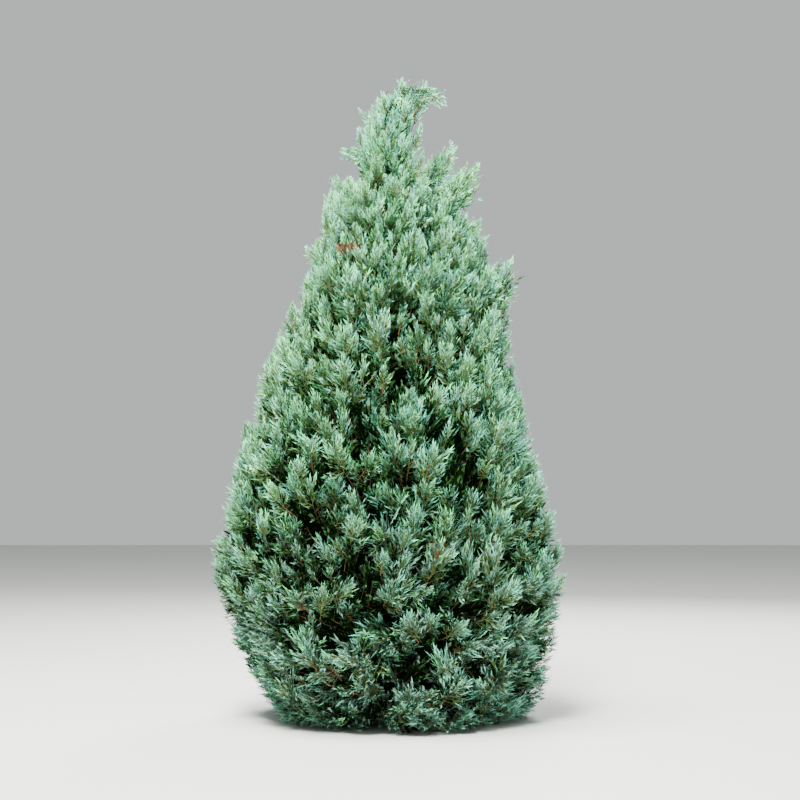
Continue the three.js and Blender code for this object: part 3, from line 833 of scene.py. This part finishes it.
def paint_light_and_shade(plumes, sprays, fingers, layer, rng):
    """Painted light and shade of every finger, in rungs: lighter towards the top sprays and the
    finger tips, partly as paler tips and partly as painted light, and towards the top, the crest and
    the foot as painted light; darker in the inner layers as painted shade; with random tone.
    """
    spray = fingers["spray"]
    plume = sprays["plume"][spray]
    z = plumes["tip"][:, 2][plume]
    light = LIGHT["least"] + LIGHT["spray"] * sprays["share"][spray]
    light = light + LIGHT["finger"] * fingers["share"]
    light = light + LIGHT["height"] * smooth_share(z, *HEIGHT_LIGHT)
    shade = layer["shade"] * (1 - SHADE_LOSS * smooth_share(z, *SHADE_TOP))
    light = light + LIGHT["crest"] * smooth_share(z, *CREST_LIGHT) - shade
    light = light + LIGHT["foot"] * (1 - smooth_share(z, *FOOT_LIGHT))
    light = light + LIGHT["tone"] * plumes["tone"][plume]
    light = light + rng.normal(0, SPRAY_NOISE, len(sprays["plume"]))[spray]
    return light + rng.normal(0, FINGER_NOISE, len(spray))


def tint_fingers(plumes, sprays, fingers, layer, rng):
    """Tints for the inner and outer half of every finger, from ladders of painted light and shade.
    """
    spray = fingers["spray"]
    light = paint_light_and_shade(plumes, sprays, fingers, layer, rng)
    # The outer half is painted the tip's rungs lighter: partly paler tips, partly painted highlight
    steps = np.stack([light, light + LIGHT["tip"]], axis=1).astype(int)
    ladders = np.array([[TINT_NAMES.index(name) for name in ladder] for ladder in LADDERS])
    steps = np.clip(steps, 0, ladders.shape[1] - 1)
    tints = ladders[choose_hues(sprays["base"], rng)[spray][:, None], steps]
    height = height_share(plumes["tip"][:, 2])[sprays["plume"][spray]]
    olive = rng.random(len(sprays["plume"]))[spray] < mix(*OLIVE_SHARE, height)
    # Olive shows on inner halves from a lit rung on, and on the brightest rungs as its paler copy,
    # olive painted as lit
    lit, bright = (steps[:, 0] >= step for step in OLIVE_STEPS)
    tints[olive & lit, 0] = TINT_NAMES.index("olive")
    tints[olive & bright, 0] = TINT_NAMES.index("olive_lit")
    dead = is_dead(fingers["base"], rng)
    tints[dead] = TINT_NAMES.index("dead_pale")
    dark = rng.random(len(dead)) < DARK_DEAD_SHARE
    tints[dead & dark, 0] = TINT_NAMES.index("dead_dark")
    return tints


def is_dead(points, rng):
    """Which points lie in a dead spot at the crown's front, with a ragged edge to each."""
    dead = np.zeros(len(points), bool)
    for x, z, width, height in DEAD_SPOTS:
        away = np.hypot((points[:, 0] - x) / width, (points[:, 2] - z) / height)
        dead |= (away < rng.uniform(*DEAD_EDGE, len(points))) & (points[:, 1] < 0)
    return dead


def hex_colour(text):
    """A hex colour as linear red, green, blue and alpha, by the sRGB rule."""
    parts = [int(text[i : i + 2], 16) / 255 for i in (0, 2, 4)]
    linear = [c / 12.92 if c <= 0.04045 else ((c + 0.055) / 1.055) ** 2.4 for c in parts]
    return (*linear, 1)


def set_inputs(node, values):
    for name, value in values.items():
        node.inputs[name].default_value = value
    return node


def plain_material(name, colour, roughness, shine=SHINE):
    material = bpy.data.materials.new(name)
    material.use_nodes = True
    finish = {"Base Color": hex_colour(colour), "Roughness": roughness, "Specular IOR Level": shine}
    set_inputs(material.node_tree.nodes["Principled BSDF"], finish)
    return material


def make_piece(name, corners, faces, tints, materials):
    """A joined mesh piece, in metres, that rides with the tree."""
    mesh = bpy.data.meshes.new(name)
    corners = corners.reshape(-1, 3) * METRES
    sides = faces.shape[-1]
    faces = faces.reshape(-1, sides)
    mesh.vertices.add(len(corners))
    mesh.vertices.foreach_set("co", corners.astype(np.float32).ravel())
    mesh.loops.add(faces.size)
    mesh.loops.foreach_set("vertex_index", faces.astype(np.int32).ravel())
    mesh.polygons.add(len(faces))
    mesh.polygons.foreach_set("loop_start", np.arange(0, faces.size, sides, dtype=np.int32))
    mesh.polygons.foreach_set("material_index", tints.astype(np.int32).ravel())
    for material in materials:
        mesh.materials.append(material)
    mesh.update(calc_edges=True)
    piece = bpy.data.objects.new(name, mesh)
    bpy.context.collection.objects.link(piece)
    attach(piece, "root")
    return piece


def curve_points(start, bend, end, share):
    """Points of quadratic curves, one row of them to each curve."""
    share = share[None, :, None]
    start, bend, end = start[:, None], bend[:, None], end[:, None]
    return start * (1 - share) ** 2 + 2 * bend * share * (1 - share) + end * share**2


def tube_faces(sides, rings, count):
    """The four-sided faces of tubes whose corners follow one another ring by ring."""
    here = np.arange(rings - 1)[:, None] * sides + np.arange(sides)
    beside = np.arange(rings - 1)[:, None] * sides + (np.arange(sides) + 1) % sides
    pattern = np.stack([here, beside, beside + sides, here + sides], axis=-1).reshape(-1, 4)
    return pattern[None] + rings * sides * np.arange(count)[:, None, None]


def ring_ways(tangent, hint, sides):
    """The directions in which the corners lie round every point of a line."""
    side, across = (way[..., None, :] for way in frames(tangent, hint))
    angle = (TURN * np.arange(sides) / sides)[:, None]
    return side * np.cos(angle) + across * np.sin(angle)


def tube_mesh(start, bend, end, radius, tip_radius):
    """Thin tapering tubes along quadratic curves."""
    share = np.linspace(0, 1, TUBE_RINGS)
    points = curve_points(start, bend, end, share)
    tangent = unit(np.gradient(points, axis=1) + TINY)
    ring = ring_ways(tangent, TUBE_HINT, TUBE_SIDES)
    width = radius[:, None] + (tip_radius - radius)[:, None] * share
    corners = points[:, :, None] + ring * width[:, :, None, None]
    faces = tube_faces(TUBE_SIDES, TUBE_RINGS, len(start))
    return corners.reshape(-1, 3), faces.reshape(-1, 4)


def trunk_middle(z):
    """The point of the trunk's middle line at a height, as in the source."""
    share = z / TRUNK_TOP
    x = TRUNK_LEAN * share + SWAY_X * np.sin(SWAY_X_WAVE * share)
    y = SWAY_Y * np.sin(SWAY_Y_WAVE * share)
    return np.stack(np.broadcast_arrays(x, y, z), axis=-1)


def trunk_radius(z, azimuth):
    """How thick the trunk is at a height and azimuth, with its flare, as in the source."""
    stem = mix(TRUNK_TIP_RADIUS, TRUNK_RADIUS, (1 - z / TRUNK_TOP) ** TRUNK_TAPER)
    flare = FLARE_RADIUS * np.exp(-z / FLARE_HEIGHT)
    return stem + flare * (FLARE_LEVEL + FLARE_WAVE * np.cos(FLARE_LOBES * azimuth + FLARE_TURN))


def hollow_radius(mass, z):
    """How far from the crown's middle line a mass starts: round the boughs, or round the trunk."""
    bough = TIERS[mass["tier"]]["bough"]
    return HOLLOW_SHARE * crown_radius(z) if bough else np.full_like(z, TRUNK_RADIUS, dtype=float)


def middle_level(mass):
    """The height halfway between the feet of a mass's tier and the next."""
    tier = mass["tier"]
    return np.array((TIERS[tier]["foot"] + TIERS[tier + 1]["foot"]) / 2)


def middle_point(mass, radius):
    """The point at a radius halfway between the borders below and above a mass."""
    tier = mass["tier"]
    low = border(tier, radius, mass["azimuth"])
    high = border(tier + 1, radius, mass["azimuth"])
    return from_crown(mass["azimuth"], radius, (low + high) / 2)


def entry_point(mass):
    """Where the mass's stem begins, as in the source."""
    return middle_point(mass, hollow_radius(mass, middle_level(mass)))


def stem_slope(mass):
    return (TIERS[mass["tier"]]["slope"] + TIERS[mass["tier"] + 1]["slope"]) / 2


def bough_line(mass):
    """Start, bend and end of the line of a bough, as in the source."""
    entry = entry_point(mass)
    slope = stem_slope(mass)
    way = unit(np.array([math.cos(mass["azimuth"]), math.sin(mass["azimuth"]), slope]))
    fall = BOUGH_FALL * slope * math.hypot(entry[0], entry[1])
    stagger = BOUGH_STAGGER * (mass["place"] % BOUGH_STEPS - 1)
    start = trunk_middle(np.array(max(entry[2] - fall + stagger, LOWEST_JOINT)))
    bend = entry - way * BOUGH_BEND * np.linalg.norm(entry - start)
    return start, bend, entry


def bark_relief(points, form):
    """How far the bark stands out at each point: fibrous strips with furrows between them."""
    relief = np.empty(len(points))
    for i, (x, y, z) in enumerate(points):
        place = (x / form["width"], y / form["width"], z / form["stretch"])
        strip = noise.noise(Vector(place))
        fine = (place[0] * FIBRE_ACROSS, place[1] * FIBRE_ACROSS, place[2] * FIBRE_UP + FIBRE_SHIFT)
        fibre = noise.noise(Vector(fine))
        relief[i] = STRIP_LEVEL - abs(strip) * STRIP_FURROW + FIBRE_RELIEF * fibre
    return form["depth"] * relief


def bark_ring(points, sides):
    """The directions of a limb's corners round every point of its middle line."""
    tangent = unit(np.gradient(points, axis=0))
    steep = abs(tangent[0, 2]) > STEEP
    return ring_ways(tangent, np.array([0.0, 1.0, 0.0] if steep else [0.0, 0.0, 1.0]), sides)


def bark_tube(points, ring, radii, form):
    """A tube with the bark's relief, along a line of points, with a radius for every corner."""
    smooth = points[:, None] + ring * radii[..., None]
    relief = bark_relief(smooth.reshape(-1, 3), form).reshape(radii.shape)
    relief = relief * np.minimum(1, radii / FULL_RELIEF_RADIUS)
    corners = (smooth + ring * relief[..., None]).reshape(-1, 3)
    return corners, tube_faces(form["sides"], len(points), 1)[0]


def bark_material():
    """Reddish-brown fibrous bark in long strips, greyer on its ridges."""
    material = bpy.data.materials.new("bark")
    material.use_nodes = True
    nodes = material.node_tree.nodes
    links = material.node_tree.links
    shader = set_inputs(nodes["Principled BSDF"], BARK_FINISH)
    place = nodes.new("ShaderNodeTexCoord")
    stretch = set_inputs(nodes.new("ShaderNodeMapping"), BARK_STRETCH)
    links.new(place.outputs["Object"], stretch.inputs["Vector"])
    fibres = set_inputs(nodes.new("ShaderNodeTexNoise"), BARK_FIBRES)
    links.new(stretch.outputs["Vector"], fibres.inputs["Vector"])
    ramp = nodes.new("ShaderNodeValToRGB")
    for stop, (position, tint) in zip(ramp.color_ramp.elements, BARK_ENDS, strict=True):
        stop.position = position
        stop.color = hex_colour(tint)
    middle = ramp.color_ramp.elements.new(BARK_MIDDLE[0])
    middle.color = hex_colour(BARK_MIDDLE[1])
    links.new(fibres.outputs["Fac"], ramp.inputs["Fac"])
    links.new(ramp.outputs["Color"], shader.inputs["Base Color"])
    bump = set_inputs(nodes.new("ShaderNodeBump"), BARK_BUMP)
    links.new(fibres.outputs["Fac"], bump.inputs["Height"])
    links.new(bump.outputs["Normal"], shader.inputs["Normal"])
    return material


def make_trunk(material):
    z = TRUNK_TOP * np.linspace(0, 1, TRUNK_MESH["rings"])
    points = trunk_middle(z)
    ring = bark_ring(points, TRUNK_MESH["sides"])
    radii = trunk_radius(z[:, None], np.arctan2(ring[..., 1], ring[..., 0]))
    corners, faces = bark_tube(points, ring, radii, TRUNK_MESH)
    corners[:, 2] = np.clip(corners[:, 2], 0, TRUNK_TOP)
    piece = make_piece("bark_trunk", corners, faces, np.zeros(len(faces)), [material])
    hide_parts("trunk")


def make_boughs(masses, material):
    share = np.linspace(0, 1, BOUGH_MESH["rings"])
    swell = COLLAR_SHARE * np.exp(-COLLAR_FADE * share)
    for mass in masses:
        size = TIERS[mass["tier"]]["bough"]
        if not size:
            continue
        start, bend, end = bough_line(mass)
        points = curve_points(start[None], bend[None], end[None], share)[0]
        radii = BOUGH_RADIUS * size * (mix(1, BOUGH_TIP_SHARE, share) + swell)
        ring = bark_ring(points, BOUGH_MESH["sides"])
        radii = np.broadcast_to(radii[:, None], ring.shape[:2])
        corners, faces = bark_tube(points, ring, radii, BOUGH_MESH)
        name = mass["name"]
        piece = make_piece(f"bark_{name}", corners, faces, np.zeros(len(faces)), [material])
        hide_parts(f"bough_{name}")


def mass_stem(mass):
    """Start, bend and end of the limb on which a mass grows."""
    tier = mass["tier"]
    if tier == len(TIERS) - 1:
        start = trunk_middle(np.array(TRUNK_TOP * LEADER_STEM_START))
        end = np.array(LEADER_STEM_END)
        return start, (start + end) / 2, end
    level = middle_level(mass)
    end = middle_point(mass, mix(hollow_radius(mass, level), crown_radius(level), STEM_REACH))
    start = entry_point(mass)
    if not TIERS[tier]["bough"]:
        start = trunk_middle(np.array(start[2] - STEM_FALL * math.hypot(start[0], start[1])))
    return start, (start + end) / 2, end


def branch_mass(mass, roots, axes, rng):
    """Start, bend, end and radii of each of a mass's limbs: its stem, its branches and its twigs."""
    start, bend, end = mass_stem(mass)
    limbs = [(start, bend, end, STEM_RADII)]
    trend = unit(end - start)
    side, across = frames(trend, STEM_HINT)
    offset = roots - (start + end) / 2
    order = np.argsort(np.arctan2(offset @ across, offset @ side))
    for group in np.array_split(order, max(1, len(order) // TWIGS_TO_BRANCH)):
        share = rng.uniform(*BRANCH_PLACES)
        seat = curve_points(start[None], bend[None], end[None], np.array([share]))[0, 0]
        fork = mix(seat, roots[group].mean(axis=0), FORK_SHARE)
        middle = mix(seat, fork, 0.5)
        limbs.append((seat, middle + trend * BRANCH_ARCH, fork, BRANCH_RADII))
        for n in group:
            stretch = min(TWIG_HOLD * np.linalg.norm(roots[n] - fork), MOST_HOLD)
            hold = roots[n] - axes[n] * stretch
            limbs.append((fork, hold, roots[n] + axes[n] * TWIG_OVERLAP, TWIG_RADII))
    return limbs


def join_meshes(meshes):
    """One set of corners and faces from several."""
    corners = np.concatenate([mesh[0] for mesh in meshes])
    starts = np.cumsum([0] + [len(mesh[0]) for mesh in meshes[:-1]])
    faces = np.concatenate([mesh[1] + start for mesh, start in zip(meshes, starts, strict=True)])
    return corners, faces


def gather_mass(index, layers):
    """Roots and axes of a mass's plumes, the curves of those axes and the ribs of their sprays."""
    roots, axes, curves, ribs = [], [], [], []
    for layer, (plumes, sprays) in zip(LAYERS, layers, strict=True):
        mine = plumes["mass"] == index
        roots.append(plumes["root"][mine])
        axes.append(plumes["axis"][mine])
        curves.append(axis_curves(plumes, mine))
        if layer["spikes"]:
            ribs.append(rib_corners(sprays, mine[sprays["plume"]]))
    return np.concatenate(roots), np.concatenate(axes), curves, ribs


def twig_mesh(limbs, curves, ribs):
    """Corners and faces of limbs, axes and ribs together."""
    lines = np.array([limb[:3] for limb in limbs])
    radii = np.array([limb[3] for limb in limbs], float)
    thick = np.full(curves.shape[1], AXIS_RADIUS)
    rib_faces = np.arange(4)[None] + 4 * np.arange(len(ribs))[:, None]
    meshes = [
        tube_mesh(lines[:, 0], lines[:, 1], lines[:, 2], radii[:, 0], radii[:, 1]),
        tube_mesh(*curves, thick, thick * AXIS_TAPER),
        (ribs.reshape(-1, 3), rib_faces),
    ]
    corners, faces = join_meshes(meshes)
    corners[:, 2] = np.maximum(corners[:, 2], FLOOR_GAP)
    return corners, faces


def make_twigs(masses, layers, materials):
    """The limbs inside the foliage, the axis of every plume and the rib of every spray."""
    rng = np.random.default_rng(TWIG_SEED)
    tube_size = TUBE_SIDES * (TUBE_RINGS - 1)
    for tier, facts in enumerate(TIERS):
        limbs, curves, ribs = [], [], []
        for index, mass in enumerate(masses):
            if mass["tier"] != tier:
                continue
            roots, axes, mass_curves, mass_ribs = gather_mass(index, layers)
            curves += mass_curves
            ribs += mass_ribs
            if len(roots):
                limbs += branch_mass(mass, roots, axes, rng)
        curves = np.concatenate(curves, axis=1)
        ribs = np.concatenate(ribs)
        corners, faces = twig_mesh(limbs, curves, ribs)
        tints = [
            rng.choice(LIMB_CHOICE, len(limbs)).repeat(tube_size),
            rng.choice(AXIS_CHOICE, curves.shape[1]).repeat(tube_size),
            np.full(len(ribs), list(TWIG_TINTS).index("rib")),
        ]
        name = f"twigs_{facts['name']}"
        make_piece(name, corners, faces, np.concatenate(tints), materials)


def rib_corners(sprays, chosen):
    """The corners of a narrow flat rib down the middle of every chosen spray."""
    base = sprays["base"][chosen]
    reach = RIB_SHARE * sprays["reach"][chosen]
    end = base + sprays["along"][chosen] * reach[:, None]
    half = sprays["width"][chosen] * RIB_HALF
    tip_half = half * RIB_TAPER
    return np.stack([base - half, base + half, end + tip_half, end - tip_half], axis=1)


def reach_beyond(points):
    """How far points lie outside the crown's outline."""
    azimuth, radius, z = to_crown(points)
    beyond = radius - surface_radius(azimuth, z)
    return np.where(z > HEIGHT, np.maximum(beyond, z - HEIGHT), beyond)


def keep_fingers(plumes, sprays, fingers, corners, layer, rng):
    """Which fingers stay: those within reach, apart from some that the nodding plume has lost."""
    plume = sprays["plume"][fingers["spray"]]
    tip = corners[:, 3]
    depth = mix(*INNER_DEPTH, smooth_share(tip[:, 2], *SPEARS))
    limit = OVERHANG if layer["spikes"] else -depth
    kept = (reach_beyond(tip) < limit) | plumes["free"][plume]
    lost = rng.random(len(sprays["reach"])) < NODDING["lost"]
    kept &= ~(plumes["nods"][plume] & lost[fingers["spray"]])
    kept &= corners[..., 2].min(axis=1) > FLOOR_GAP
    return kept & (corners[..., 2].max(axis=1) < HEIGHT + TOP_OVERHANG)


def grow_layer(masses, layer):
    """A layer's plumes and sprays, and the corners, tints and tiers of the fingers that stay."""
    rng = np.random.default_rng(layer["seed"] + SPRAY_SEED_STEP)
    plumes = lay_out_plumes(masses, layer)
    sprays = grow_sprays(plumes, layer, rng)
    fingers = grow_fingers(sprays, layer, rng)
    corners = finger_mesh(fingers, layer)
    tints = tint_fingers(plumes, sprays, fingers, layer, rng)
    kept = keep_fingers(plumes, sprays, fingers, corners, layer, rng)
    mass_tiers = np.array([mass["tier"] for mass in masses])
    tiers = mass_tiers[plumes["mass"]][sprays["plume"][fingers["spray"]]]
    return plumes, sprays, corners[kept], tints[kept], tiers[kept]


def make_leaves(masses, materials):
    """All the fingers, one piece to a tier. Gives back the plumes and sprays that bear them."""
    meshes = [[] for _ in TIERS]
    tints = [[] for _ in TIERS]
    grown = []
    for layer in LAYERS:
        plumes, sprays, corners, finger_tints, tiers = grow_layer(masses, layer)
        grown.append((plumes, sprays))
        pattern, outer = finger_faces(layer["spikes"])
        face_tints = finger_tints[:, outer.astype(int)]
        for tier in range(len(TIERS)):
            chosen = tiers == tier
            faces = pattern + corners.shape[1] * np.arange(chosen.sum())[:, None, None]
            meshes[tier].append((corners[chosen].reshape(-1, 3), faces.reshape(-1, 3)))
            tints[tier].append(face_tints[chosen].ravel())
    for tier, facts in enumerate(TIERS):
        corners, faces = join_meshes(meshes[tier])
        name = f"leaves_{facts['name']}"
        piece = make_piece(name, corners, faces, np.concatenate(tints[tier]), materials)
        nodes = [f"foliage_{mass['name']}" for mass in masses if mass["tier"] == tier]
        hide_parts(*nodes)
    return grown


def make_floor():
    bpy.ops.mesh.primitive_plane_add(size=FLOOR_SIZE, location=(0, 0, 0))
    floor = bpy.context.object
    floor.name = "floor"
    floor.data.materials.append(plain_material("floor", FLOOR_TINT, FLOOR_ROUGHNESS))


def make_light(name, place, target, size, power, colour):
    data = bpy.data.lights.new(name, "AREA")
    data.shape = "DISK"
    data.size = size
    data.energy = power
    data.color = colour
    light = bpy.data.objects.new(name, data)
    bpy.context.collection.objects.link(light)
    light.location = place
    way = Vector(target) - Vector(place)
    light.rotation_euler = way.to_track_quat("-Z", "Y").to_euler()


def make_lights():
    world = bpy.data.worlds.new("studio")
    world.use_nodes = True
    set_inputs(world.node_tree.nodes["Background"], WORLD)
    bpy.context.scene.world = world
    for light in LIGHTS:
        make_light(*light)


def make_camera():
    data = bpy.data.cameras.new("camera")
    data.sensor_width = SENSOR_WIDTH
    data.lens = SENSOR_WIDTH * FOCAL_PIXELS / PICTURE_WIDTH
    data.clip_end = FARTHEST
    camera = bpy.data.objects.new("camera", data)
    bpy.context.collection.objects.link(camera)
    camera.location = CAMERA_PLACE
    camera.rotation_euler = (math.radians(90 + CAMERA_TILT), 0, 0)
    bpy.context.scene.camera = camera


def main():
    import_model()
    masses = lay_out_masses()
    leaf_materials = [
        plain_material(f"foliage_{name}", tint, LEAF_ROUGHNESS, DULL.get(name, SHINE))
        for name, tint in TINTS.items()
    ]
    twig_materials = [
        plain_material(f"twig_{name}", tint, TWIG_ROUGHNESS) for name, tint in TWIG_TINTS.items()
    ]
    layers = make_leaves(masses, leaf_materials)
    make_twigs(masses, layers, twig_materials)
    bark = bark_material()
    make_trunk(bark)
    make_boughs(masses, bark)
    make_floor()
    make_lights()
    make_camera()


main()
